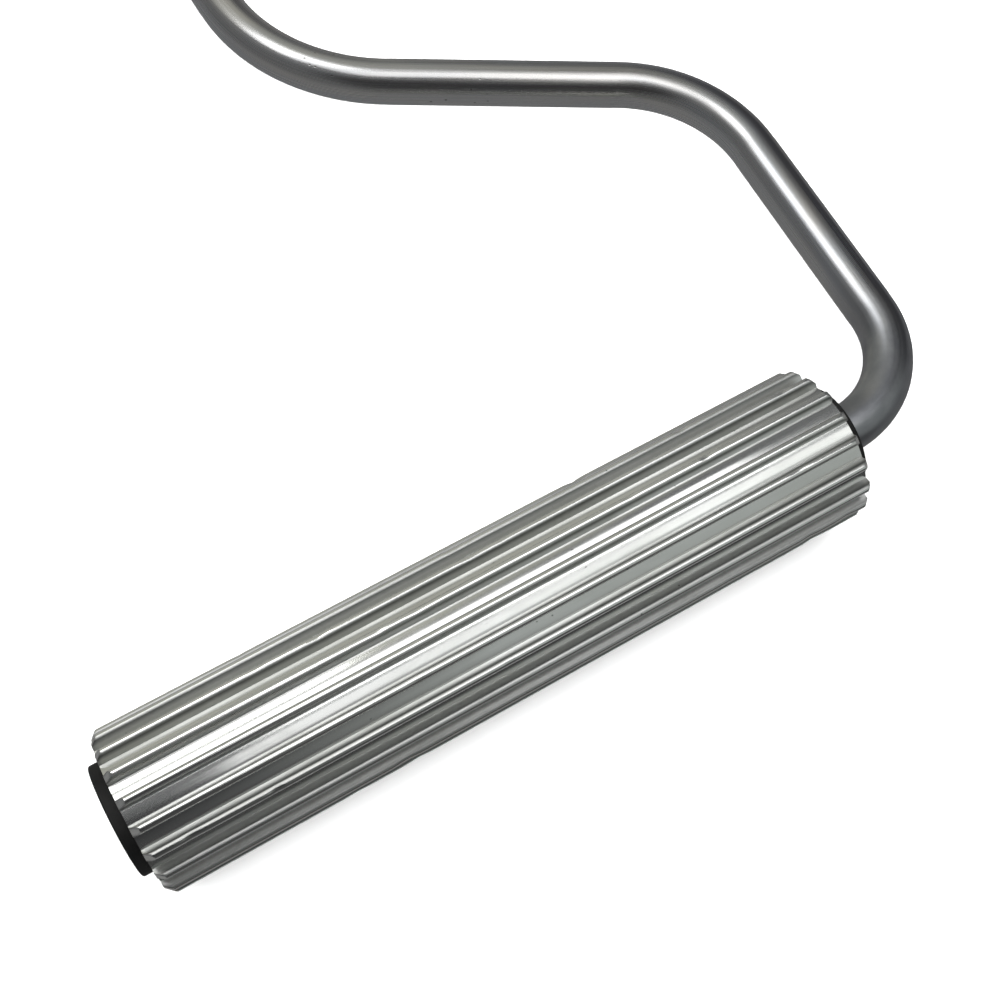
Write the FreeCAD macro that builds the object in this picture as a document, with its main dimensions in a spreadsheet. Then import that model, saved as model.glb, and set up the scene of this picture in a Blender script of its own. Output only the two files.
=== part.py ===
"""Ribbed aluminium hand roller on a bent steel rod frame, with its handle.

Millimetres, +Z up.  The origin is the mouth of the pole socket, at the centre of the handle's end.
+Y points out of the socket, away from the roller.  X runs along the roller's axle, and Z = 0 is the
level of the axle, the rod and the handle, which all lie in one plane.
"""
import FreeCAD, Part

import math
import os

import Sketcher
from FreeCAD import Placement, Rotation, Vector

OUT_FOLDER = "parts"

# Driving dimensions, in millimetres, degrees and whole numbers.
DIMENSIONS = {
    # roller sleeve
    "sleeve_length": 140.0,
    "crest_radius": 15.0,
    "floor_radius": 12.85,
    "bore_radius": 10.15,
    "rib_count": 18,
    "rib_tip_radius": 0.8,
    "rib_root_half": 1.0,
    "rib_sink": 0.6,
    "free_end_chamfer": 1.4,
    "rod_end_chamfer": 1.1,
    # end caps and inner bush
    "cap_proud": 2.4,
    "cap_seat": 12.0,
    "cap_edge": 0.4,
    "cap_skirt_wall": 1.8,
    "cap_floor": 3.0,
    "free_cap_seat": 8.0,
    "running_clearance": 0.05,
    "bush_start": 12.5,
    "bush_length": 14.0,
    # axle hardware
    "washer_inner_radius": 5.0,
    "washer_outer_radius": 8.0,
    "washer_thickness": 1.0,
    "thrust_gap": 0.15,
    "ring_outer_radius": 6.7,
    "ring_thickness": 0.65,
    "ring_gap": 5.0,
    "ring_play": 0.05,
    "groove_depth": 0.3,
    # rod frame
    "rod_radius": 4.75,
    "axle_start": 8.0,
    "axle_chamfer": 0.8,
    "stem_station": 89.5,
    "leg_angle": 86.7,
    "leg_run": 44.0,
    "link_angle": 149.3,
    "link_run": 49.0,
    "axle_bend": 20.0,
    "leg_bend": 31.0,
    "stem_bend": 43.0,
    "ear_height": 1.4,
    "ear_width": 3.0,
    "ear_length": 9.0,
    "ear_from_end": 8.0,
    # handle
    "axle_to_mouth": 315.0,
    "handle_length": 125.0,
    "handle_edge": 0.8,
    "rod_depth": 65.0,
    "socket_radius": 7.7,
    "socket_depth": 30.0,
    "nose_radius": 8.2,
    "nose_slope": 8.4,
    "collar_radius": 12.6,
    "collar_end": 14.0,
    "grip_seat_radius": 11.0,
    "tail_radius": 14.6,
    "tail_length": 20.0,
    "tail_bevel": 3.0,
    "grip_front_radius": 12.6,
    "grip_swell_radius": 14.2,
    "grip_palm_radius": 14.7,
    "grip_waist_radius": 12.9,
    "grip_rear_radius": 14.2,
}

# The grip's outline behind the collar: how far along it, as a share of its length, and the radius there.
GRIP_STATIONS = (
    (0.0, "grip_front_radius"),
    (0.22, "grip_swell_radius"),
    (0.36, "grip_palm_radius"),
    (0.50, "grip_swell_radius"),
    (0.74, "grip_waist_radius"),
    (0.96, "grip_rear_radius"),
    (1.0, "grip_rear_radius"),
)
CUT_MARGIN = 1.0  # how far a cutting outline reaches outside the material
LEAST_CUT = 0.01  # a cut that removes less than this, in cubic millimetres, has missed


class Size:
    """A length that carries both its value and the spreadsheet expression that gives it."""

    def __init__(self, value, text):
        self.value = value
        self.text = text

    def combine(self, other, sign):
        if not isinstance(other, Size):
            other = Size(other, repr(other))
        value = self.value + other.value if sign == "+" else self.value - other.value
        return Size(value, "(%s %s %s)" % (self.text, sign, other.text))

    def __add__(self, other):
        return self.combine(other, "+")

    def __sub__(self, other):
        return self.combine(other, "-")

    def __neg__(self):
        return Size(-self.value, "(-%s)" % self.text)

    def __mul__(self, factor):
        return Size(self.value * factor, "(%s * %r)" % (self.text, factor))


ZERO = Size(0.0, "0")


def size(name):
    return Size(float(DIMENSIONS[name]), "dims." + name)


def make_sheet(doc):
    """The driving dimensions, one to a row: the name in column A, the value in column B."""
    sheet = doc.addObject("Spreadsheet::Sheet", "dims")
    for row, (name, value) in enumerate(DIMENSIONS.items(), start=1):
        sheet.set("A%d" % row, name)
        sheet.set("B%d" % row, repr(value))
        sheet.setAlias("B%d" % row, name)
    doc.recompute()
    return sheet


def new_body(doc, label, position, turn=0.0):
    """A body whose local frame sits at a position of the model, turned about X by some degrees."""
    body = doc.addObject("PartDesign::Body", label)
    body.Label = label
    body.Placement = Placement(position, Rotation(Vector(1, 0, 0), turn))
    return body


def new_sketch(body, name, role):
    """A sketch on one of the body's own origin planes."""
    sketch = body.newObject("Sketcher::SketchObject", name)
    plane = next(item for item in body.Origin.OriginFeatures if item.Role == role)
    sketch.AttachmentSupport = [(plane, "")]
    sketch.MapMode = "FlatFace"
    return sketch


def hold(sketch, kind, amount, *places):
    """A dimension constraint that follows an expression, or a plain one on an axis when it is zero."""
    if amount.text == "0":
        axis = {"DistanceX": -2, "DistanceY": -1}[kind]
        sketch.addConstraint(Sketcher.Constraint("PointOnObject", places[0], places[1], axis))
        return
    if kind in ("DistanceX", "DistanceY"):
        places = (-1, 1) + places
    number = sketch.addConstraint(Sketcher.Constraint(kind, *places, amount.value))
    sketch.setExpression("Constraints[%d]" % number, amount.text)


def draw_outline(sketch, corners):
    """A closed outline of straight lines whose corners are pairs of Size."""
    first = sketch.GeometryCount
    count = len(corners)
    for index in range(count):
        start, end = corners[index], corners[(index + 1) % count]
        start_point = Vector(start[0].value, start[1].value, 0)
        end_point = Vector(end[0].value, end[1].value, 0)
        sketch.addGeometry(Part.LineSegment(start_point, end_point), False)
    for index in range(count):
        following = first + (index + 1) % count
        sketch.addConstraint(Sketcher.Constraint("Coincident", first + index, 2, following, 1))
        hold(sketch, "DistanceX", corners[index][0], first + index, 1)
        hold(sketch, "DistanceY", corners[index][1], first + index, 1)


def draw_circle(sketch, radius):
    """A circle about the sketch's origin."""
    number = sketch.addGeometry(Part.Circle(Vector(0, 0, 0), Vector(0, 0, 1), radius.value), False)
    sketch.addConstraint(Sketcher.Constraint("Coincident", number, 3, -1, 1))
    hold(sketch, "Radius", radius, number)


def turn_solid(body, name, kind, corners, axis):
    """A Revolution or a Groove of an outline in the XY plane, through a whole turn about an axis."""
    sketch = new_sketch(body, name + "_outline", "XY_Plane")
    draw_outline(sketch, corners)
    feature = body.newObject("PartDesign::" + kind, name)
    feature.Profile = sketch
    feature.ReferenceAxis = (sketch, [axis])
    feature.Angle = 360.0
    return feature


def pad_sketch(body, name, sketch, length, symmetric=False):
    pad = body.newObject("PartDesign::Pad", name)
    pad.Profile = sketch
    pad.SideType = "Symmetric" if symmetric else "One side"
    pad.Length = length.value
    pad.setExpression("Length", length.text)
    return pad


def sleeve_frame():
    """The sleeve's free end on the axle: X runs from here towards the rod side."""
    return Vector(-DIMENSIONS["stem_station"], -DIMENSIONS["axle_to_mouth"], 0)


def ribbed_sleeve(doc):
    """An extruded tube with straight ribs, standing on two neighbouring ribs, its rib ends chamfered."""
    half_pitch = 180.0 / DIMENSIONS["rib_count"]
    body = new_body(doc, "ribbed_sleeve", sleeve_frame(), half_pitch)
    length = size("sleeve_length")

    ring = new_sketch(body, "tube_section", "YZ_Plane")
    draw_circle(ring, size("floor_radius"))
    draw_circle(ring, size("bore_radius"))
    pad_sketch(body, "tube", ring, length)

    rib = new_sketch(body, "rib_section", "YZ_Plane")
    draw_rib(rib)
    rib_pad = pad_sketch(body, "rib", rib, length)
    doc.recompute()

    ribs = body.newObject("PartDesign::PolarPattern", "ribs")
    ribs.Originals = [rib_pad]
    ribs.Axis = (rib, ["N_Axis"])
    ribs.Angle = 360.0
    ribs.setExpression("Occurrences", "dims.rib_count")
    body.Tip = ribs
    doc.recompute()

    crest = size("crest_radius")
    past = crest + CUT_MARGIN
    for name, face, chamfer, outwards in (("free_end_chamfer", ZERO, size("free_end_chamfer"), -1.0),
                                          ("rod_end_chamfer", length, size("rod_end_chamfer"), 1.0)):
        before = body.Shape.Volume
        inner = face - chamfer * outwards
        outer = face + chamfer * outwards
        corners = [(inner, crest), (outer, crest - chamfer * 2.0), (outer, past), (inner, past)]
        turn_solid(body, name, "Groove", corners, "H_Axis")
        doc.recompute()
        check_cut(body, before)
    return body


def draw_rib(sketch):
    """One rib pointing up: two sloping flanks that meet a rounded tip, rooted inside the tube's wall."""
    tip = size("rib_tip_radius")
    centre = size("crest_radius") - tip
    root = size("rib_root_half")
    base = size("floor_radius") - size("rib_sink")
    right = Vector(root.value, base.value, 0)
    left = Vector(-root.value, base.value, 0)
    arc_centre = Vector(0, centre.value, 0)
    circle = Part.Circle(arc_centre, Vector(0, 0, 1), tip.value)
    touch = Vector(tip.value, centre.value, 0)
    far_touch = Vector(-tip.value, centre.value, 0)
    sketch.addGeometry(Part.LineSegment(right, touch), False)
    sketch.addGeometry(Part.ArcOfCircle(circle, 0.0, math.pi), False)
    sketch.addGeometry(Part.LineSegment(far_touch, left), False)
    sketch.addGeometry(Part.LineSegment(left, right), False)
    sketch.addConstraint(Sketcher.Constraint("Tangent", 0, 2, 1, 1))
    sketch.addConstraint(Sketcher.Constraint("Tangent", 1, 2, 2, 1))
    sketch.addConstraint(Sketcher.Constraint("Coincident", 2, 2, 3, 1))
    sketch.addConstraint(Sketcher.Constraint("Coincident", 3, 2, 0, 1))
    hold(sketch, "Radius", tip, 1)
    hold(sketch, "DistanceX", ZERO, 1, 3)
    hold(sketch, "DistanceY", centre, 1, 3)
    hold(sketch, "DistanceX", root, 0, 1)
    hold(sketch, "DistanceY", base, 0, 1)
    hold(sketch, "DistanceX", -root, 3, 1)
    hold(sketch, "DistanceY", base, 3, 1)


def check_cut(body, volume_before):
    """Stop if the last cut of a body took no material away."""
    if body.Shape.Volume > volume_before - LEAST_CUT:
        raise RuntimeError("the last cut of %s removed nothing" % body.Label)


def rod_side_cap(doc):
    """The plug at the rod's side of the sleeve: its bore is the roller's outer bearing."""
    body = new_body(doc, "rod_side_cap", sleeve_frame())
    bore = size("rod_radius") + size("running_clearance")
    outer = size("bore_radius")
    edge = size("cap_edge")
    inside = size("sleeve_length") - size("cap_seat")
    face = size("sleeve_length") + size("cap_proud")
    corners = [(inside, bore), (face, bore), (face, outer - edge), (face - edge, outer),
               (inside + edge, outer), (inside, outer - edge)]
    turn_solid(body, "plug", "Revolution", corners, "H_Axis")
    return body


def free_side_cap(doc):
    """The blind plug that closes the sleeve over the axle's end: a disc with a skirt behind it."""
    body = new_body(doc, "free_side_cap", sleeve_frame())
    outer = size("bore_radius")
    edge = size("cap_edge")
    skirt = outer - size("cap_skirt_wall")
    face = -size("cap_proud")
    floor = face + size("cap_floor")
    seat = size("free_cap_seat")
    corners = [(face, ZERO), (floor, ZERO), (floor, skirt), (seat, skirt), (seat, outer - edge),
               (seat - edge, outer), (face + edge, outer), (face, outer - edge)]
    turn_solid(body, "plug", "Revolution", corners, "H_Axis")
    return body


def inner_bush(doc):
    """The plain bearing inside the sleeve, near the axle's free end."""
    body = new_body(doc, "inner_bush", sleeve_frame())
    bore = size("rod_radius") + size("running_clearance")
    outer = size("bore_radius")
    edge = size("cap_edge")
    start = size("bush_start")
    end = start + size("bush_length")
    corners = [(start, bore), (end, bore), (end, outer - edge), (end - edge, outer),
               (start + edge, outer), (start, outer - edge)]
    turn_solid(body, "bush", "Revolution", corners, "H_Axis")
    return body


def washer_stations():
    """Where each thrust washer starts along the sleeve: one on each side of the bush."""
    before = size("bush_start") - size("thrust_gap") - size("washer_thickness")
    after = size("bush_start") + size("bush_length") + size("thrust_gap")
    return before, after


def ring_stations():
    """Where each retaining ring starts along the sleeve: just outside its washer."""
    before, after = washer_stations()
    return (before - size("ring_play") - size("ring_thickness"),
            after + size("washer_thickness") + size("ring_play"))


def axle_cylinder(doc, name, station, radius, length):
    """A Part cylinder about the axle, from a station of the sleeve towards the rod side."""
    cylinder = doc.addObject("Part::Cylinder", name)
    base = sleeve_frame() + Vector(station.value, 0, 0)
    cylinder.Placement = Placement(base, Rotation(Vector(0, 1, 0), 90))
    x_shift = "%s - dims.stem_station" % station.text
    cylinder.setExpression("Placement.Base.x", x_shift)
    cylinder.setExpression("Radius", radius.text)
    cylinder.setExpression("Height", length.text)
    return cylinder


def cut_from(doc, name, base, tool):
    cut = doc.addObject("Part::Cut", name)
    cut.Base = base
    cut.Tool = tool
    return cut


def group_solids(doc, label, parts):
    """Identical separate pieces kept together in one sub-part."""
    group = doc.addObject("Part::Compound", label)
    group.Label = label
    group.Links = parts
    return group


def thrust_washers(doc):
    """Two flat washers, one on each side of the bush."""
    thick = size("washer_thickness")
    washers = []
    for number, station in enumerate(washer_stations(), start=1):
        disc = axle_cylinder(doc, "washer_disc_%d" % number, station, size("washer_outer_radius"), thick)
        hole = axle_cylinder(doc, "washer_hole_%d" % number, station, size("washer_inner_radius"), thick)
        washers.append(cut_from(doc, "washer_%d" % number, disc, hole))
    return group_solids(doc, "thrust_washers", washers)


def retaining_rings(doc):
    """Two open spring rings that sit in the axle's grooves."""
    thick = size("ring_thickness")
    groove = size("rod_radius") - size("groove_depth")
    rings = []
    for number, station in enumerate(ring_stations(), start=1):
        disc = axle_cylinder(doc, "ring_disc_%d" % number, station, size("ring_outer_radius"), thick)
        hole = axle_cylinder(doc, "ring_hole_%d" % number, station, groove, thick)
        closed = cut_from(doc, "ring_closed_%d" % number, disc, hole)
        opening = doc.addObject("Part::Box", "ring_opening_%d" % number)
        low = sleeve_frame() + Vector(station.value, -DIMENSIONS["ring_gap"] / 2, 0)
        opening.Placement = Placement(low, Rotation())
        opening.setExpression("Placement.Base.x", "%s - dims.stem_station" % station.text)
        opening.setExpression("Length", "dims.ring_thickness")
        opening.setExpression("Width", "dims.ring_gap")
        opening.setExpression("Height", "dims.ring_outer_radius * 2")
        rings.append(cut_from(doc, "ring_%d" % number, closed, opening))
    return group_solids(doc, "retaining_rings", rings)


def rod_route():
    """The centre line's tangent points and bends, from the axle's free end to the rod's end in the handle.

    The corners follow from the stem, which lies on the handle's centre line, back along the link and
    the leg to the axle line.  Coordinates are in the rod's own frame, whose origin is the axle's end.
    """
    leg = math.radians(DIMENSIONS["leg_angle"])
    link = math.radians(DIMENSIONS["link_angle"])
    along = [Vector(1, 0, 0), Vector(math.cos(leg), math.sin(leg), 0),
             Vector(math.cos(link), math.sin(link), 0), Vector(0, 1, 0)]
    turns = [leg, link - leg, math.pi / 2 - link]
    radii = [DIMENSIONS["axle_bend"], DIMENSIONS["leg_bend"], DIMENSIONS["stem_bend"]]
    sides = [1 if turn > 0 else -1 for turn in turns]
    tangents = [radius * math.tan(abs(turn) / 2) for radius, turn in zip(radii, turns)]
    runs = [tangents[0] + DIMENSIONS["leg_run"] + tangents[1],
            tangents[1] + DIMENSIONS["link_run"] + tangents[2]]
    corner_step = along[1] * runs[0] + along[2] * runs[1]
    stem_x = DIMENSIONS["stem_station"] - DIMENSIONS["axle_start"]
    first = Vector(stem_x - corner_step.x, 0, 0)
    corners = [first, first + along[1] * runs[0], first + corner_step]
    return along, sides, radii, tangents, corners, stem_x


def rod_end_height():
    """The rod's end in the handle, measured from the axle line."""
    return size("axle_to_mouth") - size("handle_length") + size("rod_depth")


def draw_route(sketch):
    """Straight runs joined by tangent arcs."""
    along, sides, radii, tangents, corners, stem_x = rod_route()
    point = Vector(0, 0, 0)
    for index, corner in enumerate(corners):
        start = corner - along[index] * tangents[index]
        end = corner + along[index + 1] * tangents[index]
        across = Vector(-along[index].y, along[index].x, 0) * sides[index]
        centre = start + across * radii[index]
        middle_out = (corner - centre).normalize()
        sketch.addGeometry(Part.LineSegment(point, start), False)
        sketch.addGeometry(Part.Arc(start, centre + middle_out * radii[index], end), False)
        point = end
    sketch.addGeometry(Part.LineSegment(point, Vector(stem_x, rod_end_height().value, 0)), False)
    for index in range(len(corners)):
        line, arc = 2 * index, 2 * index + 1
        arc_start, arc_end = (1, 2) if sides[index] > 0 else (2, 1)
        sketch.addConstraint(Sketcher.Constraint("Tangent", line, 2, arc, arc_start))
        sketch.addConstraint(Sketcher.Constraint("Tangent", arc, arc_end, line + 2, 1))
    sketch.addConstraint(Sketcher.Constraint("Coincident", 0, 1, -1, 1))
    sketch.addConstraint(Sketcher.Constraint("Horizontal", 0))
    sketch.addConstraint(Sketcher.Constraint("Vertical", 6))
    for arc, name in ((1, "axle_bend"), (3, "leg_bend"), (5, "stem_bend")):
        hold(sketch, "Radius", size(name), arc)
    for line, name in ((2, "leg_run"), (4, "link_run")):
        hold(sketch, "Distance", size(name), line)
    for line, name in ((2, "leg_angle"), (4, "link_angle")):
        angle = math.radians(DIMENSIONS[name])
        number = sketch.addConstraint(Sketcher.Constraint("Angle", line, angle))
        sketch.setExpression("Constraints[%d]" % number, "dims.%s * 1 deg" % name)
    hold(sketch, "DistanceX", size("stem_station") - size("axle_start"), 6, 2)
    hold(sketch, "DistanceY", rod_end_height(), 6, 2)


def rod_frame(doc):
    """The bent rod: axle, axle bend, leg, leg bend, link, stem bend and stem, in one level plane."""
    position = sleeve_frame() + Vector(DIMENSIONS["axle_start"], 0, 0)
    body = new_body(doc, "rod_frame", position)
    radius = size("rod_radius")
    section = new_sketch(body, "rod_section", "YZ_Plane")
    draw_circle(section, radius)
    route = new_sketch(body, "rod_route", "XY_Plane")
    draw_route(route)
    pipe = body.newObject("PartDesign::AdditivePipe", "rod")
    pipe.Profile = section
    pipe.Spine = (route, [])
    doc.recompute()

    ears = new_sketch(body, "ear_outline", "XY_Plane")
    draw_outline(ears, ear_corners(size("stem_station") - size("axle_start"), rod_end_height()))
    pad_sketch(body, "ears", ears, size("ear_width"), symmetric=True)
    doc.recompute()

    groove = radius - size("groove_depth")
    past = radius + CUT_MARGIN
    for number, station in enumerate(ring_stations(), start=1):
        before = body.Shape.Volume
        low = station - size("axle_start")
        high = low + size("ring_thickness")
        corners = [(low, groove), (high, groove), (high, past), (low, past)]
        turn_solid(body, "ring_groove_%d" % number, "Groove", corners, "H_Axis")
        doc.recompute()
        check_cut(body, before)

    before = body.Shape.Volume
    chamfer = size("axle_chamfer")
    corners = [(-chamfer, radius - chamfer * 2.0), (chamfer, radius), (chamfer, past), (-chamfer, past)]
    turn_solid(body, "axle_end_chamfer", "Groove", corners, "H_Axis")
    doc.recompute()
    check_cut(body, before)
    return body


def ear_corners(centre_x, rod_end):
    """The pair of crimped ears that key the rod in the handle, as one rectangle across the rod."""
    reach = size("rod_radius") + size("ear_height")
    high = rod_end - size("ear_from_end")
    low = high - size("ear_length")
    left = centre_x - reach
    right = centre_x + reach
    return [(left, low), (right, low), (right, high), (left, high)]


def handle_core(doc):
    """The hard handle: nose, collar, a plain seat for the grip, and a tail with the pole socket."""
    body = new_body(doc, "handle_core", Vector(0, 0, 0))
    nose = -size("handle_length")
    collar_end = nose + size("collar_end")
    rod_end = nose + size("rod_depth")
    tail = -size("tail_length")
    rod = size("rod_radius")
    seat = size("grip_seat_radius")
    socket = size("socket_radius")
    socket_end = -size("socket_depth")
    tail_radius = size("tail_radius")
    collar = size("collar_radius")
    nose_radius = size("nose_radius")
    edge = size("handle_edge")
    bevel = size("tail_bevel")
    corners = [(rod, nose), (nose_radius, nose), (nose_radius + edge, nose + edge),
               (collar, nose + size("nose_slope")), (collar, collar_end), (seat, collar_end), (seat, tail),
               (tail_radius - edge, tail), (tail_radius, tail + edge), (tail_radius, -bevel),
               (tail_radius - bevel, ZERO), (socket, ZERO), (socket, socket_end), (ZERO, socket_end),
               (ZERO, rod_end), (rod, rod_end)]
    turn_solid(body, "core", "Revolution", corners, "V_Axis")
    doc.recompute()

    before = body.Shape.Volume
    slot = new_sketch(body, "ear_slot_outline", "XY_Plane")
    draw_outline(slot, ear_corners(ZERO, rod_end))
    pocket = body.newObject("PartDesign::Pocket", "ear_slot")
    pocket.Profile = slot
    pocket.SideType = "Symmetric"
    pocket.Length = DIMENSIONS["ear_width"]
    pocket.setExpression("Length", "dims.ear_width")
    doc.recompute()
    check_cut(body, before)
    return body


def handle_grip(doc):
    """The soft grip: a sleeve on the core, fuller at the palm and at its rear, waisted between."""
    body = new_body(doc, "handle_grip", Vector(0, 0, 0))
    front = -size("handle_length") + size("collar_end")
    length = size("handle_length") - size("collar_end") - size("tail_length")
    seat = size("grip_seat_radius")
    outside = [(size(radius), front + length * share) for share, radius in GRIP_STATIONS]
    corners = [(seat, front)] + outside + [(seat, -size("tail_length"))]
    turn_solid(body, "grip", "Revolution", corners, "V_Axis")
    return body


def check_document(doc, nodes):
    """Stop on any failed object, and on any sub-part without a sound shape."""
    for item in doc.Objects:
        if "Invalid" in item.State or "Error" in item.State:
            raise RuntimeError("%s failed: %s" % (item.Label, item.State))
    for node in nodes:
        if node.Shape.isNull() or not node.Shape.isValid():
            raise RuntimeError("%s has no valid shape" % node.Label)
        print("%-16s %2d solid(s) %9.1f mm3" % (node.Label, len(node.Shape.Solids), node.Shape.Volume))


def main():
    doc = FreeCAD.newDocument("ribbed_roller")
    make_sheet(doc)
    makers = (ribbed_sleeve, rod_side_cap, free_side_cap, inner_bush, thrust_washers, retaining_rings,
              rod_frame, handle_core, handle_grip)
    nodes = [make(doc) for make in makers]
    doc.recompute()
    check_document(doc, nodes)
    os.makedirs(OUT_FOLDER, exist_ok=True)
    for node in nodes:
        node.Shape.exportStep(os.path.join(OUT_FOLDER, node.Label + ".step"))


main()
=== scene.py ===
"""Looks for the ribbed hand roller: finely shaped pieces over the frame, materials, light and camera.

Metres, +Z up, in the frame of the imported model.  The sleeve turns about the axle, which runs along X.
The rod, the axle and the handle lie in one level plane, and the handle points along +Y.
"""
import math
import random

import bmesh
import bpy
from mathutils import Matrix, Vector


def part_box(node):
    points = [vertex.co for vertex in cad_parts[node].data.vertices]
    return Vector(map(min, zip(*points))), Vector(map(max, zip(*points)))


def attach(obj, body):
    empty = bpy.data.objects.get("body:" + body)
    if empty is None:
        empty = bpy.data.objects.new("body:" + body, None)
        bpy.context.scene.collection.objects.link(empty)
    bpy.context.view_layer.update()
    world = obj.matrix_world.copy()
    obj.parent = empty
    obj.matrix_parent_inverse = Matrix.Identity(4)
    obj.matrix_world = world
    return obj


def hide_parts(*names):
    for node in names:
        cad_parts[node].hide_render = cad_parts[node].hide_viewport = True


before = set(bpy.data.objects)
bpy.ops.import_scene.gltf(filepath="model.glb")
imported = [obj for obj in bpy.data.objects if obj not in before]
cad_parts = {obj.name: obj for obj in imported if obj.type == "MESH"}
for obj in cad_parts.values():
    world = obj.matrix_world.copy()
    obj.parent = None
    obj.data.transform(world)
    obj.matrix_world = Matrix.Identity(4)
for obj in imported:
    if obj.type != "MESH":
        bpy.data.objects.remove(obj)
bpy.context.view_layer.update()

MM = 0.001

# ---------------------------------------------------------------- meshes
SHARP_ANGLE = math.radians(32.0)
WELD_DISTANCE = 1e-6
LATHE_SIDES = 96
CORNER_STEPS = 5
CORNER_SHARE = 0.45  # of a run, the most that one rounded corner takes

# ---------------------------------------------------------------- places read from the frame
SLEEVE_LOW, SLEEVE_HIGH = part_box("ribbed_sleeve")
ROD_LOW, ROD_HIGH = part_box("rod_frame")
CORE_LOW, CORE_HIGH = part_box("handle_core")
GRIP_LOW, GRIP_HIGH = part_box("handle_grip")
AXLE_Y = (SLEEVE_LOW.y + SLEEVE_HIGH.y) / 2
AXLE_Z = 0.0
CREST_RADIUS = (SLEEVE_HIGH.y - SLEEVE_LOW.y) / 2

# ---------------------------------------------------------------- sleeve
RIB_COUNT = 18
FLOOR_RADIUS = 12.85 * MM
BORE_RADIUS = 10.15 * MM
RIB_TIP_RADIUS = 0.80 * MM
FLANK_TILT = math.radians(6.0)
FREE_END_CHAMFER = 1.4 * MM
ROD_END_CHAMFER = 1.1 * MM
SLEEVE_STEP = 1.0 * MM
CHAMFER_SHARES = (0.0, 0.1, 0.35, 0.6, 0.85, 1.0, 1.15)
TIP_STEPS = 6
VALLEY_STEPS = 5
PAINTED_SHADE_START = 0.4  # share of the tip's turn where the painted shade beside the crest begins
FLANK_PAINTED_SHADES = (0.20, 0.14)  # painted shade halfway down the flank, and at the root
FREE_FILE_RANGE = (0.86, 1.08)
ROD_FILE_RANGE = (0.80, 1.15)
DENT_COUNT = 70
DENT_END_GAP = 3 * MM
DENT_WIDTHS = (0.6, 1.8)  # millimetres
DENT_DEPTHS = (0.05, 0.16)  # millimetres
DENT_REACH = 3  # widths
DENTED_HEIGHT = 0.6 * MM  # the outer part of a rib that a knock can move

# ---------------------------------------------------------------- rod
ROD_RADIUS = 4.75 * MM
LEG_ANGLE = math.radians(86.7)
LINK_ANGLE = math.radians(149.3)
LEG_RUN = 44.0 * MM
LINK_RUN = 49.0 * MM
AXLE_BEND = 20.0 * MM
LEG_BEND = 31.0 * MM
STEM_BEND = 43.0 * MM
DARKENED_LENGTH = 160.0 * MM  # from the axle's free end: the axle and its bend, darker and rougher than the rest
DARKENED_FADE = 18 * MM
AXLE_CHAMFER = 0.8 * MM
BEND_FLATTENING = 0.012
STRAIGHT_TURN = 1e-4  # radians between stations, under which the rod counts as straight
ROD_SIDES = 56
ROD_STEP = 1.2 * MM

# ---------------------------------------------------------------- caps
RUNNING_CLEARANCE = 0.05 * MM
CAP_EDGE = 0.45 * MM
CAP_RECESS = 0.5 * MM
RECESS_FOOT = 1.3 * MM  # from the bore
RECESS_RIM = 1.7 * MM  # from the bore
BLIND_SKIRT_WALL = 1.8 * MM
BLIND_FLOOR = 3.0 * MM
BLIND_FACE = ((0.35, 0.0), (0.35, 1.6), (0.15, 2.0), (0.15, 6.6), (0.0, 6.9))  # depth and radius, mm

# ---------------------------------------------------------------- handle
SEAT_RADIUS = 11.0 * MM
COLLAR_RADIUS = 12.6 * MM
NOSE_RADIUS = 8.2 * MM
NOSE_LENGTH = 8.4 * MM
TAIL_LENGTH = 20.0 * MM
TAIL_CHAMFER = 3.0 * MM
CORE_EDGE = 0.8 * MM
SOCKET_RADIUS = 7.7 * MM
SOCKET_DEPTH = 30.0 * MM
SOCKET_STEPS = 120
THREAD_PITCH = 5.08 * MM
THREAD_DEPTH = 0.9 * MM
WALL_TOLERANCE = 0.1 * MM
THREAD_MOUTH_GAP = 0.2 * MM
THREAD_BOTTOM_GAP = 0.5 * MM
THREAD_FLAT = 2.2  # over 1, so that the groove has a flat bottom
THREAD_SLOPE = 6.0
GRIP_STATIONS = ((0.0, 12.6), (0.22, 14.2), (0.36, 14.7), (0.50, 14.2),
                 (0.74, 12.9), (0.96, 14.2), (1.0, 14.2))  # share of the length, radius in mm
GRIP_STEPS = 220
GRIP_BORE = 11.02 * MM
GRIP_EDGE = 0.8 * MM
GROOVES_START = 0.07
GROOVES_END = 0.93
GROOVES_SPAN = 0.86
GROOVE_COUNT = 17
GROOVE_DEPTH = 0.55 * MM
GROOVE_NARROWING = 6

# ---------------------------------------------------------------- light
PANEL_HEIGHT = 0.8
MIRRORED_PANELS = (  # name, low x, high x, low y, high y, radiance
    ("top_panel", -0.25, 0.36, -0.36, -0.08, 1.7),
    ("middle_panel", -0.04, 0.40, -0.49, -0.36, 3.0),
    ("back_panel", -0.45, 0.02, -0.02, 0.28, 3.2),
    ("front_panel", -0.08, 0.60, -0.77, -0.54, 0.90),
)
SOFT_TOP = ("soft_top", -1.5, 1.4, -1.7, 1.2)  # name, low x, high x, low y, high y
SOFT_TOP_HEIGHT = 1.3
SOFT_TOP_RADIANCE = 3.4
ROOM_TONE = (0.150, 0.152, 0.155)
ROOM_LOBES = (  # direction, cosines where the lobe starts and is full, tone
    ((0.0, 0.0, -1.0), -0.10, 0.25, (0.23, 0.23, 0.23)),
    ((0.20, -0.97, -0.05), 0.78, 0.93, (0.06, 0.06, 0.06)),
    ((-0.10, 0.99, 0.05), 0.80, 0.92, (0.42, 0.42, 0.38)),
    ((-0.05, 0.72, 0.69), 0.84, 0.92, (0.42, 0.42, 0.38)),
    ((0.55, -0.66, 0.52), 0.78, 0.95, (0.40, 0.42, 0.41)),
    ((-0.39, -0.66, 0.64), 0.80, 0.95, (0.035, 0.035, 0.037)),
    ((0.90, 0.30, 0.35), 0.80, 0.97, (0.04, 0.04, 0.045)),
)
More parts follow.
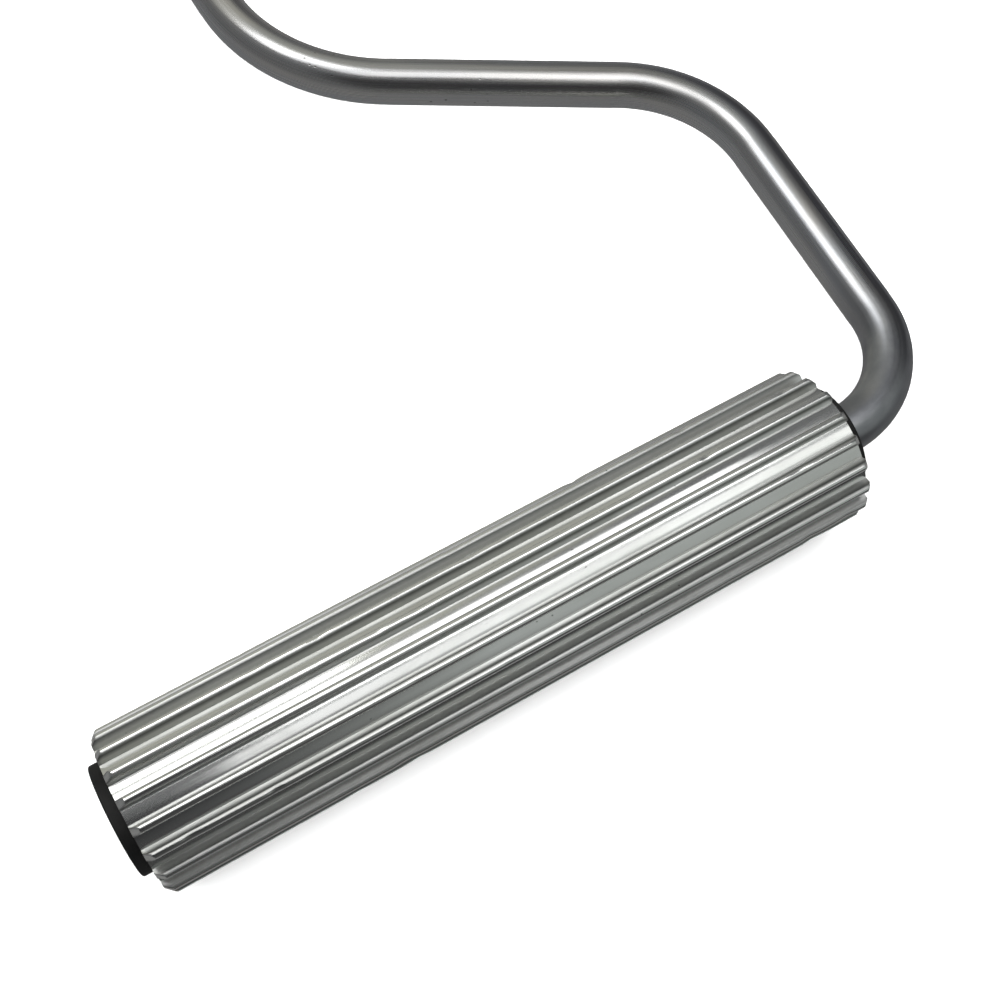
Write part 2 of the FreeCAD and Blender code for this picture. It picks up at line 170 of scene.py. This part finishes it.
FLOOR_HALF = 3.0
FLOOR_GAP = 0.0002

# ---------------------------------------------------------------- camera
SENSOR_WIDTH = 36.0
LENS = 53.68
CAMERA_PLACE = (-69.85 * MM, -397.46 * MM, 243.96 * MM)
CAMERA_TURNS = (26.070, -0.618, -30.197)  # degrees

rng = random.Random(18)


# ================================================================ mesh helpers
def mesh_object(name, points, faces):
    """A smooth-shaded object whose edges stay sharp where its faces turn by more than an angle."""
    mesh = bpy.data.meshes.new(name)
    mesh.from_pydata([tuple(point) for point in points], [], faces)
    mesh.validate()
    mesh.shade_smooth()
    mesh.set_sharp_from_angle(angle=SHARP_ANGLE)
    mesh.update()
    piece = bpy.data.objects.new(name, mesh)
    bpy.context.scene.collection.objects.link(piece)
    return piece


def stitch(rings, closed_loop=False):
    """Quads between rings of the same number of points, as faces over one flat list of points."""
    count = len(rings[0])
    faces = []
    spans = len(rings) if closed_loop else len(rings) - 1
    for ring in range(spans):
        here, there = ring * count, ((ring + 1) % len(rings)) * count
        for side in range(count):
            after = (side + 1) % count
            faces.append((here + side, here + after, there + after, there + side))
    return [point for ring in rings for point in ring], faces


def round_corners(corners, radius):
    """The open outline with each inner corner given a curve, as large as its two runs leave room for."""
    outline = [corners[0]]
    for before, corner, after in zip(corners, corners[1:], corners[2:]):
        into = Vector(before) - Vector(corner)
        away = Vector(after) - Vector(corner)
        reach = min(radius, into.length * CORNER_SHARE, away.length * CORNER_SHARE)
        start = Vector(corner) + into.normalized() * reach
        end = Vector(corner) + away.normalized() * reach
        for step in range(CORNER_STEPS + 1):
            t = step / CORNER_STEPS
            outline.append(tuple(start * (1 - t) ** 2 + Vector(corner) * 2 * t * (1 - t) + end * t ** 2))
    outline.append(corners[-1])
    return outline


def lathe(name, outline, centre, axis):
    """An outline of (along, radius) pairs turned about X or Y; ends on the axis close to a point."""
    rings = []
    for along, radius in outline:
        ring = []
        for side in range(LATHE_SIDES):
            turn = 2 * math.pi * side / LATHE_SIDES
            across, up = radius * math.cos(turn), radius * math.sin(turn)
            offset = (along, across, up) if axis == "X" else (up, along, across)
            ring.append(Vector(centre) + Vector(offset))
        rings.append(ring)
    closed = outline[0] == outline[-1]
    if closed:
        rings.pop()
    points, faces = stitch(rings, closed_loop=closed)
    piece = mesh_object(name, points, faces)
    weld(piece)
    return piece


def weld(piece):
    """Joins points that fall together, such as a ring of no radius, and turns the faces outwards."""
    work = bmesh.new()
    work.from_mesh(piece.data)
    bmesh.ops.remove_doubles(work, verts=work.verts, dist=WELD_DISTANCE)
    bmesh.ops.dissolve_degenerate(work, edges=work.edges, dist=WELD_DISTANCE)
    bmesh.ops.recalc_face_normals(work, faces=work.faces)
    work.to_mesh(piece.data)
    work.free()
    piece.data.shade_smooth()
    piece.data.set_sharp_from_angle(angle=SHARP_ANGLE)


# ================================================================ material helpers
class Surface:
    """A material under construction: a Principled shader and short ways to feed it."""

    def __init__(self, name, coordinates="Object"):
        self.material = bpy.data.materials.new(name)
        self.material.use_nodes = True
        self.tree = self.material.node_tree
        self.shader = self.tree.nodes["Principled BSDF"]
        if coordinates == "Object":
            self.place = self.node("ShaderNodeTexCoord").outputs["Object"]
        else:
            self.place = self.node("ShaderNodeAttribute", attribute_name=coordinates).outputs["Vector"]
        self.normal = None

    def node(self, kind, **settings):
        item = self.tree.nodes.new(kind)
        for key, value in settings.items():
            setattr(item, key, value)
        return item

    def link(self, source, target):
        self.tree.links.new(source, target)

    def set(self, **sockets):
        for name, value in sockets.items():
            self.shader.inputs[name.replace("_", " ")].default_value = value

    def stretch(self, scale):
        mapping = self.node("ShaderNodeMapping")
        mapping.inputs["Scale"].default_value = scale
        self.link(self.place, mapping.inputs["Vector"])
        return mapping.outputs["Vector"]

    def noise(self, scale, detail=3.0, roughness=0.55, distortion=0.0):
        """Noise with its own scale on each axis, in waves to the metre."""
        texture = self.node("ShaderNodeTexNoise")
        self.link(self.stretch(scale), texture.inputs["Vector"])
        texture.inputs["Scale"].default_value = 1.0
        texture.inputs["Detail"].default_value = detail
        texture.inputs["Roughness"].default_value = roughness
        texture.inputs["Distortion"].default_value = distortion
        return texture.outputs["Fac"]

    def cells(self, scale):
        """The distance to the nearest of scattered points."""
        texture = self.node("ShaderNodeTexVoronoi")
        self.link(self.stretch(scale), texture.inputs["Vector"])
        texture.inputs["Scale"].default_value = 1.0
        return texture.outputs["Distance"]

    def range(self, value, low, high, to_low=0.0, to_high=1.0):
        """The value's stretch from low to high, spread over another, and held at its ends."""
        span = self.node("ShaderNodeMapRange")
        span.clamp = True
        for name, number in (("From Min", low), ("From Max", high), ("To Min", to_low), ("To Max", to_high)):
            span.inputs[name].default_value = number
        self.link(value, span.inputs["Value"])
        return span.outputs["Result"]

    def blend(self, amount, first, second):
        """A colour from first to second; each is a colour or another blend's output."""
        mix = self.node("ShaderNodeMix", data_type="RGBA")
        self.link(amount, mix.inputs["Factor"])
        for socket, colour in ((mix.inputs[6], first), (mix.inputs[7], second)):
            if isinstance(colour, tuple):
                socket.default_value = colour + (1.0,)
            else:
                self.link(colour, socket)
        return mix.outputs[2]

    def maths(self, operation, first, second):
        item = self.node("ShaderNodeMath", operation=operation)
        for socket, value in zip(item.inputs, (first, second)):
            if isinstance(value, float):
                socket.default_value = value
            else:
                self.link(value, socket)
        return item.outputs["Value"]

    def colour(self, source):
        self.link(source, self.shader.inputs["Base Color"])

    def rough(self, source):
        self.link(source, self.shader.inputs["Roughness"])

    def bump(self, height, depth, strength):
        """Adds relief of a depth in metres to the relief there is."""
        item = self.node("ShaderNodeBump")
        item.inputs["Strength"].default_value = strength
        item.inputs["Distance"].default_value = depth
        self.link(height, item.inputs["Height"])
        if self.normal is not None:
            self.link(self.normal, item.inputs["Normal"])
        self.normal = item.outputs["Normal"]
        self.link(self.normal, self.shader.inputs["Normal"])


def finish_piece(piece, body, slot, material, *nodes):
    """Gives a piece its material, says what it rides on and hides the frame nodes it stands for; the slot is
    not used.
    """
    piece.data.materials.clear()
    piece.data.materials.append(material)
    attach(piece, body)
    if nodes:
        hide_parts(*nodes)


# ================================================================ materials
def aluminium_material():
    """Bright mill aluminium with lengthwise die lines, soft stains, a few dark specks and painted shade
    beside the rib crests and down their flanks.
    """
    surface = Surface("sleeve_aluminium")
    surface.set(Metallic=1.0)
    fine = surface.noise((22.0, 5200.0, 5200.0), detail=4.0, roughness=0.65)
    broad = surface.noise((9.0, 620.0, 620.0), detail=2.0)
    cloud = surface.noise((38.0, 110.0, 110.0), detail=4.0, roughness=0.6, distortion=0.4)
    speck = surface.range(surface.cells((330.0, 420.0, 420.0)), 0.035, 0.07, 1.0, 0.0)
    rare = surface.range(surface.noise((60.0, 60.0, 60.0), detail=1.0), 0.54, 0.60)
    base = surface.blend(surface.range(cloud, 0.35, 0.7), (0.86, 0.87, 0.855), (0.75, 0.76, 0.735))
    base = surface.blend(surface.range(broad, 0.48, 0.72, 0.0, 0.35), base, (0.66, 0.66, 0.62))
    base = surface.blend(surface.maths("MULTIPLY", speck, rare), base, (0.06, 0.055, 0.05))
    # side carries painted shade on the rib sides beside the crests: it darkens the colour and roughens the
    # surface there
    side = surface.node("ShaderNodeAttribute", attribute_name="painted_rib_shade").outputs["Fac"]
    base = surface.blend(surface.range(side, 0.0, 1.0, 0.0, 0.80), base, (0.10, 0.10, 0.098))
    surface.colour(base)
    rough = surface.maths("ADD", surface.range(fine, 0.3, 0.7, 0.09, 0.15),
                          surface.range(cloud, 0.45, 0.75, 0.0, 0.08))
    surface.rough(surface.maths("ADD", rough, surface.range(side, 0.0, 0.2, 0.0, 0.24)))
    surface.bump(broad, 0.000005, 0.5)
    surface.bump(fine, 0.0000015, 0.6)
    return surface.material


def zinc_material():
    """Satin bright zinc on drawn rod: lengthwise drawing lines, faint blue and straw tints, small nicks, and
    a darker, rougher mottled stretch over the axle and its bend.
    """
    surface = Surface("rod_zinc", coordinates="along_rod")
    surface.set(Metallic=1.0)
    drawn = surface.noise((14.0, 2600.0, 2600.0), detail=4.0, roughness=0.6)
    grain = surface.noise((1500.0, 2400.0, 2400.0), detail=2.0)
    tint = surface.noise((16.0, 90.0, 90.0), detail=3.0, distortion=0.5)
    base = surface.blend(surface.range(tint, 0.4, 0.62), (0.60, 0.59, 0.575), (0.52, 0.535, 0.565))
    base = surface.blend(surface.range(tint, 0.6, 0.75, 0.0, 0.5), base, (0.58, 0.53, 0.45))
    nick = surface.range(surface.cells((420.0, 520.0, 520.0)), 0.07, 0.12, 1.0, 0.0)
    few = surface.range(surface.noise((30.0, 30.0, 30.0), detail=1.0), 0.55, 0.6)
    marks = surface.maths("MULTIPLY", nick, few)
    base = surface.blend(marks, base, (0.12, 0.115, 0.11))
    split = surface.node("ShaderNodeSeparateXYZ")
    surface.link(surface.place, split.inputs["Vector"])
    # A mottled stretch over the axle and its bend, darker and rougher than the rest of the rod
    darkened_stretch = surface.range(split.outputs["X"], DARKENED_LENGTH, DARKENED_LENGTH + DARKENED_FADE, 1.0, 0.0)
    mottle = surface.range(surface.noise((170.0, 230.0, 230.0), detail=4.0), 0.30, 0.70, 0.55, 1.0)
    dull = surface.maths("MULTIPLY", darkened_stretch, mottle)
    base = surface.blend(dull, base, (0.27, 0.28, 0.30))
    surface.colour(base)
    rough = surface.maths("ADD", surface.range(drawn, 0.3, 0.7, 0.22, 0.33),
                          surface.range(tint, 0.5, 0.8, 0.0, 0.08))
    surface.rough(surface.maths("ADD", rough, surface.range(dull, 0.0, 1.0, 0.0, 0.10)))
    surface.bump(drawn, 0.000012, 0.5)
    surface.bump(grain, 0.000005, 0.5)
    surface.bump(surface.maths("SUBTRACT", 1.0, marks), 0.00008, 0.5)
    return surface.material


def plastic_material(name, dark, light, rough_low, rough_high, grain_depth, gloss=0.5):
    """Moulded plastic: a fine grain, slightly uneven gloss and a little dust and rubbing."""
    surface = Surface(name)
    surface.set(Metallic=0.0, IOR=1.5, Specular_IOR_Level=gloss)
    grain = surface.noise((2600.0, 2600.0, 2600.0), detail=2.0)
    patch = surface.noise((130.0, 130.0, 130.0), detail=4.0, roughness=0.65)
    surface.colour(surface.blend(surface.range(patch, 0.42, 0.75), dark, light))
    surface.rough(surface.range(patch, 0.3, 0.75, rough_low, rough_high))
    surface.bump(patch, 0.00004, 0.25)
    surface.bump(grain, grain_depth, 0.7)
    return surface.material


def rubber_material():
    """Soft charcoal grip: a matte pebbled skin, paler and smoother where hands have rubbed it."""
    surface = Surface("grip_rubber")
    surface.set(Metallic=0.0, IOR=1.5, Sheen_Weight=0.15)
    pebble = surface.cells((1500.0, 1500.0, 1500.0))
    patch = surface.noise((70.0, 45.0, 70.0), detail=4.0, roughness=0.6)
    rubbed = surface.range(patch, 0.4, 0.72)
    surface.colour(surface.blend(rubbed, (0.030, 0.031, 0.034), (0.060, 0.060, 0.062)))
    surface.rough(surface.range(patch, 0.35, 0.75, 0.78, 0.58))
    surface.bump(pebble, 0.00006, 0.5)
    surface.bump(patch, 0.0001, 0.2)
    return surface.material


def steel_material(name, bright, dull, rough):
    """Small turned and stamped steel hardware."""
    surface = Surface(name)
    surface.set(Metallic=1.0)
    stroke = surface.noise((900.0, 900.0, 900.0), detail=4.0, roughness=0.7)
    surface.colour(surface.blend(surface.range(stroke, 0.4, 0.7), bright, dull))
    surface.rough(surface.range(stroke, 0.3, 0.7, rough, rough + 0.15))
    surface.bump(stroke, 0.00001, 0.5)
    return surface.material


# ================================================================ sleeve
def rib_outline():
    """One pitch of the section, centred on a rib, as (angle from the rib, radius, share of painted shade on
    the rib side).
    """
    tip_centre = CREST_RADIUS - RIB_TIP_RADIUS
    touch = Vector((RIB_TIP_RADIUS * math.cos(FLANK_TILT),
                    tip_centre + RIB_TIP_RADIUS * math.sin(FLANK_TILT)))
    down = Vector((math.sin(FLANK_TILT), -math.cos(FLANK_TILT)))
    along = touch.dot(down)
    fall = -along - math.sqrt(along ** 2 - touch.length_squared + FLOOR_RADIUS ** 2)
    root = touch + down * fall
    root_angle = math.atan2(root.x, root.y)
    half_pitch = math.pi / RIB_COUNT

    half = []
    for step in range(TIP_STEPS + 1):
        turn = math.pi / 2 - (math.pi / 2 - FLANK_TILT) * step / TIP_STEPS
        half.append(Vector((RIB_TIP_RADIUS * math.cos(turn), tip_centre + RIB_TIP_RADIUS * math.sin(turn))))
    half.append(touch.lerp(root, 0.5))
    for step in range(VALLEY_STEPS + 1):
        turn = root_angle + (half_pitch - root_angle) * step / VALLEY_STEPS
        half.append(Vector((math.sin(turn), math.cos(turn))) * FLOOR_RADIUS)
    # Painted shade: rising over the outer part of the tip's turn, less down the flank, none on the valley
    # floor
    painted_shades = [max(0.0, (step / TIP_STEPS - PAINTED_SHADE_START) / (1 - PAINTED_SHADE_START)) for step in range(TIP_STEPS + 1)]
    painted_shades += list(FLANK_PAINTED_SHADES) + [0.0] * VALLEY_STEPS
    right = [(math.atan2(point.x, point.y), point.length, painted_shade) for point, painted_shade in zip(half, painted_shades)]
    left = [(-angle, radius, painted_shade) for angle, radius, painted_shade in reversed(right[1:-1])]
    return left + right


def sleeve_stations():
    """Places along the sleeve, close together at the chamfered ends."""
    low, high = SLEEVE_LOW.x, SLEEVE_HIGH.x
    near = [share * FREE_END_CHAMFER for share in CHAMFER_SHARES]
    far = [share * ROD_END_CHAMFER for share in reversed(CHAMFER_SHARES)]
    start, end = low + near[-1], high - far[0]
    count = round((end - start) / SLEEVE_STEP)
    middle = [start + (end - start) * step / count for step in range(1, count)]
    return [low + reach for reach in near] + middle + [high - reach for reach in far]


def crest_dents():
    """Small knocks on the crests: (place along, rib, width, depth)."""
    low, high = SLEEVE_LOW.x + DENT_END_GAP, SLEEVE_HIGH.x - DENT_END_GAP
    return [(rng.uniform(low, high), rng.randrange(RIB_COUNT),
             rng.uniform(*DENT_WIDTHS) * MM, rng.uniform(*DENT_DEPTHS) * MM) for _ in range(DENT_COUNT)]


def build_sleeve():
    """The ribbed tube, standing on two neighbouring ribs, with knocks on its crests and filed rib ends."""
    outline = rib_outline()
    pitch = 2 * math.pi / RIB_COUNT
    dents = crest_dents()
    free_file = [FREE_END_CHAMFER * rng.uniform(*FREE_FILE_RANGE) for _ in range(RIB_COUNT)]
    rod_file = [ROD_END_CHAMFER * rng.uniform(*ROD_FILE_RANGE) for _ in range(RIB_COUNT)]
    shoulder = CREST_RADIUS - DENTED_HEIGHT
    rings = []
    for x in sleeve_stations():
        ring = []
        for rib in range(RIB_COUNT):
            nearby = [(place, width, depth) for place, dented_rib, width, depth in dents
                      if dented_rib == rib and abs(place - x) < DENT_REACH * width]
            worn = sum(depth * math.exp(-((x - place) / width) ** 2) for place, width, depth in nearby)
            limit = CREST_RADIUS - max(0.0, free_file[rib] - (x - SLEEVE_LOW.x),
                                       rod_file[rib] - (SLEEVE_HIGH.x - x))
            for angle, radius, _ in outline:
                radius = min(radius, limit)
                if radius > shoulder:
                    radius -= worn * (radius - shoulder) / (CREST_RADIUS - shoulder)
                turn = math.pi / 2 + (rib + 0.5) * pitch + angle
                ring.append(Vector((x, AXLE_Y + radius * math.cos(turn), AXLE_Z + radius * math.sin(turn))))
        rings.append(ring)
    section = [(point.y - AXLE_Y, point.z - AXLE_Z) for point in rings[0]]
    turns = [math.atan2(up, across) for across, up in section]
    inner = [[Vector((x, AXLE_Y + BORE_RADIUS * math.cos(turn), AXLE_Z + BORE_RADIUS * math.sin(turn)))
              for turn in turns] for x in (SLEEVE_HIGH.x, SLEEVE_LOW.x)]
    points, faces = stitch(rings + inner, closed_loop=True)
    piece = mesh_object("sleeve", points, faces)
    # Each point of the outer rings carries its share of painted shade for the aluminium's colour; the bore
    # gets none
    painted_shades = [painted_shade for _ in range(RIB_COUNT) for _, _, painted_shade in outline]
    painted_shade_layer = piece.data.attributes.new("painted_rib_shade", "FLOAT", "POINT")
    for index, item in enumerate(painted_shade_layer.data):
        item.value = painted_shades[index % len(painted_shades)] if index < len(rings) * len(painted_shades) else 0.0
    weld(piece)
    finish_piece(piece, "roller", "sleeve_aluminium", aluminium_material(), "ribbed_sleeve")


# ================================================================ rod
def rod_path():
    """The rod's centre line as (point, heading, distance), from the axle's free end to the handle."""
    headings = [0.0, LEG_ANGLE, LINK_ANGLE, math.pi / 2]
    radii = [AXLE_BEND, LEG_BEND, STEM_BEND]
    turns = [after - before for before, after in zip(headings, headings[1:])]
    tangents = [radius * math.tan(abs(turn) / 2) for radius, turn in zip(radii, turns)]
    direction = [Vector((math.cos(heading), math.sin(heading), 0)) for heading in headings]
    leg = direction[1] * (tangents[0] + LEG_RUN + tangents[1])
    link = direction[2] * (tangents[1] + LINK_RUN + tangents[2])
    stem_corner_y = AXLE_Y + (leg + link).y
    corner_x = -(leg + link).x
    runs = [corner_x - tangents[0] - ROD_LOW.x, LEG_RUN, LINK_RUN, ROD_HIGH.y - stem_corner_y - tangents[2]]

    path = []
    point, travelled = Vector((ROD_LOW.x, AXLE_Y, AXLE_Z)), 0.0
    for index, run in enumerate(runs):
        count = max(2, round(run / ROD_STEP))
        for step in range(count):
            path.append((point + direction[index] * run * step / count, headings[index],
                         travelled + run * step / count))
        point, travelled = point + direction[index] * run, travelled + run
        if index == len(radii):
            break
        radius, turn = radii[index], turns[index]
        normal = Vector((-math.sin(headings[index]), math.cos(headings[index]), 0))
        across = normal * math.copysign(radius, turn)
        centre = point + across
        count = round(radius * abs(turn) / ROD_STEP)
        for step in range(count):
            swing = turn * step / count
            path.append((centre - Matrix.Rotation(swing, 3, "Z") @ across, headings[index] + swing,
                         travelled + radius * abs(swing)))
        point = centre - Matrix.Rotation(turn, 3, "Z") @ across
        travelled += radius * abs(turn)
    path.append((point, headings[-1], travelled))
    return path


def build_rod():
    """The bent rod, a little flattened in its bends, with a chamfered axle end."""
    path = rod_path()
    rings, coordinates = [], []
    for index, (point, heading, distance) in enumerate(path):
        before, after = path[max(index - 1, 0)][1], path[min(index + 1, len(path) - 1)][1]
        flat = BEND_FLATTENING if abs(after - before) > STRAIGHT_TURN else 0.0
        normal = Vector((-math.sin(heading), math.cos(heading), 0))
        radius = ROD_RADIUS - max(0.0, AXLE_CHAMFER - distance)
        ring = []
        for side in range(ROD_SIDES):
            turn = 2 * math.pi * side / ROD_SIDES
            across, up = radius * (1 - flat) * math.cos(turn), radius * math.sin(turn)
            ring.append(point + normal * across + Vector((0, 0, up)))
            coordinates.append((distance, across, up))
        rings.append(ring)
    points, faces = stitch(rings)
    faces.append(tuple(reversed(range(ROD_SIDES))))
    faces.append(tuple(range(len(points) - ROD_SIDES, len(points))))
    piece = mesh_object("rod", points, faces)
    attribute = piece.data.attributes.new("along_rod", "FLOAT_VECTOR", "POINT")
    for index, value in enumerate(coordinates):
        attribute.data[index].vector = value
    finish_piece(piece, "frame", "rod_zinc", zinc_material(), "rod_frame")


# ================================================================ caps and bearing
def build_caps(material):
    """The two black plugs: one bored for the axle, one blind, both with rounded rims."""
    low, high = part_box("rod_side_cap")
    outer, bore = (high.y - low.y) / 2, ROD_RADIUS + RUNNING_CLEARANCE
    outline = [(low.x, bore), (high.x - CAP_RECESS, bore), (high.x - CAP_RECESS, bore + RECESS_FOOT),
               (high.x, bore + RECESS_RIM), (high.x, outer), (low.x, outer), (low.x, bore)]
    outline = close_outline(round_corners(outline, CAP_EDGE))
    cap = lathe("rod_cap", outline, (0, AXLE_Y, AXLE_Z), "X")
    finish_piece(cap, "roller", "cap_plastic", material, "rod_side_cap")

    low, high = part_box("free_side_cap")
    skirt = outer - BLIND_SKIRT_WALL
    floor = low.x + BLIND_FLOOR
    outline = [(low.x + depth * MM, radius * MM) for depth, radius in BLIND_FACE]
    outline += [(low.x, outer), (high.x, outer), (high.x, skirt), (floor, skirt), (floor, 0.0)]
    blind = lathe("blind_cap", round_corners(outline, CAP_EDGE), (0, AXLE_Y, AXLE_Z), "X")
    finish_piece(blind, "roller", "cap_plastic", material, "free_side_cap")


def close_outline(outline):
    """An outline that starts and ends on the same point, so that the turned shape is a closed ring."""
    return outline[:-1] + [outline[0]]


def finish_nodes(material_of):
    """Gives the frame nodes that stay on view, inside the roller, their own materials."""
    for node, material in material_of.items():
        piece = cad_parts[node]
        piece.data.materials.clear()
        piece.data.materials.append(material)


# ================================================================ handle
def build_core(material):
    """The hard handle: nose, collar, seat under the grip and tail, with a coarse thread in its socket."""
    nose, tail = CORE_LOW.y, -TAIL_LENGTH
    tail_radius = (CORE_HIGH.x - CORE_LOW.x) / 2
    outline = [(nose, ROD_RADIUS), (nose, NOSE_RADIUS), (nose + NOSE_LENGTH, COLLAR_RADIUS),
               (GRIP_LOW.y, COLLAR_RADIUS), (GRIP_LOW.y, SEAT_RADIUS), (tail, SEAT_RADIUS),
               (tail, tail_radius), (-TAIL_CHAMFER, tail_radius), (0.0, tail_radius - TAIL_CHAMFER),
               (0.0, SOCKET_RADIUS)]
    outline = round_corners(outline, CORE_EDGE)
    outline += [(-SOCKET_DEPTH * step / SOCKET_STEPS, SOCKET_RADIUS) for step in range(1, SOCKET_STEPS + 1)]
    outline.append((-SOCKET_DEPTH, 0.0))
    core = lathe("handle_body", outline, (0, 0, 0), "Y")
    cut_thread(core)
    finish_piece(core, "frame", "handle_plastic", material, "handle_core")


def cut_thread(piece):
    """Pushes the socket's wall outwards along a helix, fading out at the mouth and at the bottom."""
    end = -SOCKET_DEPTH
    for vertex in piece.data.vertices:
        x, y, z = vertex.co
        radius = math.hypot(x, z)
        on_wall = abs(radius - SOCKET_RADIUS) <= WALL_TOLERANCE
        if not on_wall or not end + THREAD_BOTTOM_GAP < y < -THREAD_MOUTH_GAP:
            continue
        phase = (y / THREAD_PITCH + math.atan2(z, x) / (2 * math.pi)) % 1.0
        groove = max(0.0, min(1.0, THREAD_FLAT - abs(phase - 0.5) * THREAD_SLOPE))
        fade = min(1.0, -y / THREAD_PITCH, (y - end) / THREAD_PITCH)
        scale = 1 + THREAD_DEPTH * groove * fade / radius
        vertex.co = (x * scale, y, z * scale)


def build_grip(material):
    """The soft grip: its swelling outline crossed by rounded grooves."""
    length = GRIP_HIGH.y - GRIP_LOW.y
    outside = []
    for step in range(GRIP_STEPS + 1):
        share = step / GRIP_STEPS
        radius = smooth_between(GRIP_STATIONS, share) * MM
        edge = min(share, 1 - share) * length
        radius -= max(0.0, GRIP_EDGE - edge) ** 2 / (2 * GRIP_EDGE)
        if GROOVES_START < share < GROOVES_END:
            wave = math.cos(2 * math.pi * (share - GROOVES_START) / GROOVES_SPAN * GROOVE_COUNT)
            radius -= GROOVE_DEPTH * max(0.0, wave) ** GROOVE_NARROWING
        outside.append((GRIP_LOW.y + length * share, radius))
    outline = [(GRIP_LOW.y, GRIP_BORE)] + outside + [(GRIP_HIGH.y, GRIP_BORE), (GRIP_LOW.y, GRIP_BORE)]
    grip = lathe("soft_grip", outline, (0, 0, 0), "Y")
    finish_piece(grip, "frame", "grip_rubber", material, "handle_grip")


def smooth_between(stations, share):
    """A curve through the stations that never rises over the taller of its two neighbours."""
    for (low, first), (high, second) in zip(stations, stations[1:]):
        if share <= high:
            t = (share - low) / (high - low)
            ease = t * t * (3 - 2 * t)
            return first + (second - first) * ease
    return stations[-1][1]


# ================================================================ floor, light and camera
def build_floor():
    """A plain pale floor under the roller; polished pieces mirror the room's own tones instead of it."""
    half = FLOOR_HALF
    level = SLEEVE_LOW.z - FLOOR_GAP
    corners = [(-half, -half, level), (half, -half, level), (half, half, level), (-half, half, level)]
    floor = mesh_object("floor", corners, [(0, 1, 2, 3)])
    floor.visible_glossy = False
    surface = Surface("pale_floor")
    surface.set(Roughness=0.85, Base_Color=(0.90, 0.90, 0.90, 1.0))
    floor.data.materials.append(surface.material)


def level_panel(name, low_x, high_x, low_y, high_y, height, radiance, mirrored):
    """A level panel that shines straight down; mirrored says whether glossy pieces show it."""
    width, depth = high_x - low_x, high_y - low_y
    light = bpy.data.lights.new(name, "AREA")
    light.shape = "RECTANGLE"
    light.size, light.size_y = width, depth
    light.energy = radiance * math.pi * width * depth
    panel = bpy.data.objects.new(name, light)
    panel.location = ((low_x + high_x) / 2, (low_y + high_y) / 2, height)
    panel.visible_glossy = mirrored
    bpy.context.scene.collection.objects.link(panel)


def build_light():
    """Hard-edged panels for the metal to mirror, a broad soft one for matte surfaces, and a toned room."""
    for name, low_x, high_x, low_y, high_y, radiance in MIRRORED_PANELS:
        level_panel(name, low_x, high_x, low_y, high_y, PANEL_HEIGHT, radiance, True)
    level_panel(*SOFT_TOP, SOFT_TOP_HEIGHT, SOFT_TOP_RADIANCE, False)
    build_room()


def build_room():
    """The room's tones by direction: a plain tone with broad lobes of lighter and darker ones over it."""
    world = bpy.data.worlds.new("studio")
    world.use_nodes = True
    tree = world.node_tree
    direction_seen = tree.nodes.new("ShaderNodeTexCoord").outputs["Generated"]
    mixed = None
    for direction, start, full, tone in ROOM_LOBES:
        towards = tree.nodes.new("ShaderNodeVectorMath")
        towards.operation = "DOT_PRODUCT"
        towards.inputs[1].default_value = Vector(direction).normalized()
        tree.links.new(direction_seen, towards.inputs[0])
        share = tree.nodes.new("ShaderNodeMapRange")
        share.interpolation_type = "SMOOTHSTEP"
        share.inputs["From Min"].default_value = start
        share.inputs["From Max"].default_value = full
        tree.links.new(towards.outputs["Value"], share.inputs["Value"])
        mix = tree.nodes.new("ShaderNodeMix")
        mix.data_type = "RGBA"
        tree.links.new(share.outputs["Result"], mix.inputs["Factor"])
        mix.inputs[6].default_value = ROOM_TONE + (1.0,)
        if mixed is not None:
            tree.links.new(mixed, mix.inputs[6])
        mix.inputs[7].default_value = tone + (1.0,)
        mixed = mix.outputs[2]
    tree.links.new(mixed, tree.nodes["Background"].inputs["Color"])
    bpy.context.scene.world = world


def build_camera():
    """The view from above the roller's free end, on the side away from the handle."""
    camera = bpy.data.cameras.new("camera")
    camera.sensor_width = SENSOR_WIDTH
    camera.lens = LENS
    eye = bpy.data.objects.new("camera", camera)
    eye.location = CAMERA_PLACE
    eye.rotation_euler = [math.radians(angle) for angle in CAMERA_TURNS]
    bpy.context.scene.collection.objects.link(eye)
    bpy.context.scene.camera = eye


# ================================================================ the whole
black_plastic = plastic_material("cap_plastic", (0.0035, 0.0035, 0.0035), (0.008, 0.008, 0.0078), 0.52, 0.66,
                                 0.000012, gloss=0.16)
handle_plastic = plastic_material("handle_plastic", (0.018, 0.018, 0.020), (0.035, 0.035, 0.037), 0.38, 0.55,
                                  0.00002)
bush_plastic = plastic_material("bush_plastic", (0.78, 0.77, 0.72), (0.66, 0.65, 0.60), 0.40, 0.55, 0.00001)
build_sleeve()
build_rod()
build_caps(black_plastic)
build_core(handle_plastic)
build_grip(rubber_material())
finish_nodes({
    "inner_bush": bush_plastic,
    "thrust_washers": steel_material("hardware_steel", (0.62, 0.62, 0.63), (0.5, 0.5, 0.52), 0.25),
    "retaining_rings": steel_material("spring_steel", (0.14, 0.14, 0.15), (0.08, 0.08, 0.09), 0.35),
})
build_floor()
build_light()
build_camera()
bpy.context.scene.view_settings.view_transform = "Standard"
